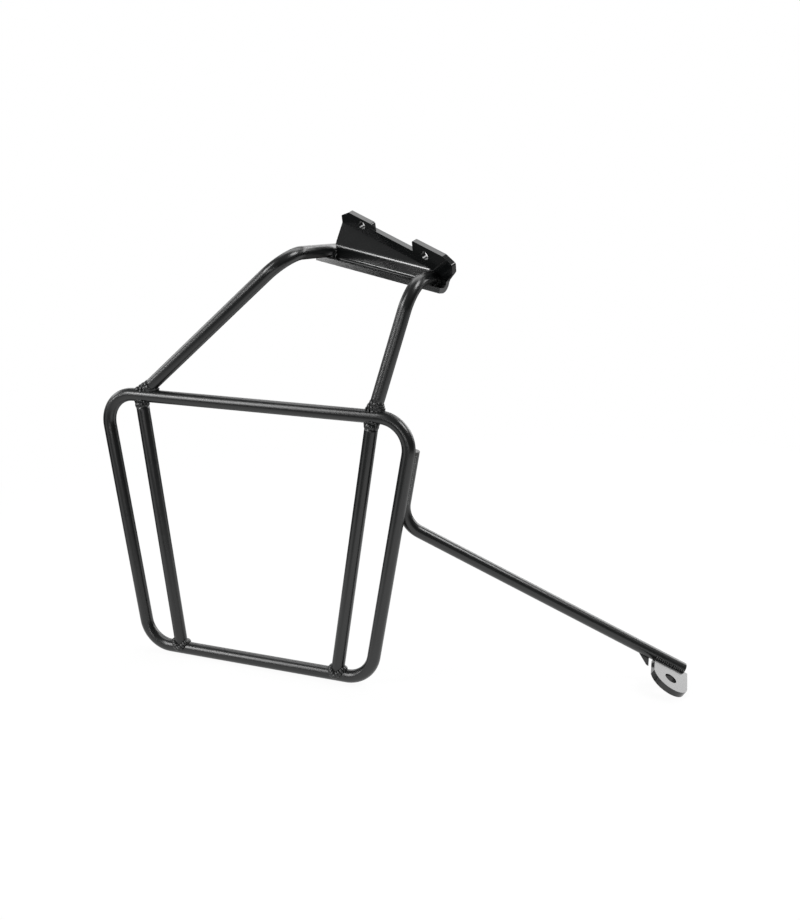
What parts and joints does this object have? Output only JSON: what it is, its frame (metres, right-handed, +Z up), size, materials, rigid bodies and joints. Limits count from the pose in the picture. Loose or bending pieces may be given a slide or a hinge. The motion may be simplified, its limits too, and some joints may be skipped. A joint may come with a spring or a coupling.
{
  "type": "motorbike pannier frame",
  "caption": "Welded tube side frame that carries a motorbike pannier: a rounded trapezium hoop with posts, stays to a folded bracket and a strut to a bolt lug.",
  "frame": {"origin": "middle of the hoop's bottom rail, on the tube's axis", "axes": "+X forward along the bike, +Y inboard towards the bike, +Z up; the hoop stands in the XZ plane"},
  "size_m": [0.572, 0.1453, 0.4413],
  "materials": {
    "tube_coat": "black semi-gloss powder coat on steel tube and bar",
    "plate_coat": "black semi-gloss powder coat on steel plate",
    "weld_coat": "black semi-gloss powder coat on weld beads"
  },
  "bodies": {
    "root": {"hoop": "tube_coat", "rear_post": "tube_coat", "front_post": "tube_coat", "rear_stay": "tube_coat", "front_stay": "tube_coat", "strut": "tube_coat", "mounting_bracket": "plate_coat", "lug": "plate_coat", "stop_tab": "plate_coat", "rear_post_foot_weld": "weld_coat", "rear_post_top_weld": "weld_coat", "front_post_foot_weld": "weld_coat", "front_post_top_weld": "weld_coat", "rear_stay_foot_weld": "weld_coat", "front_stay_foot_weld": "weld_coat", "rear_stay_rear_weld": "weld_coat", "rear_stay_front_weld": "weld_coat", "front_stay_rear_weld": "weld_coat", "front_stay_front_weld": "weld_coat", "strut_rear_weld": "weld_coat", "strut_front_weld": "weld_coat", "lug_weld": "weld_coat"}
  },
  "joints": []
}
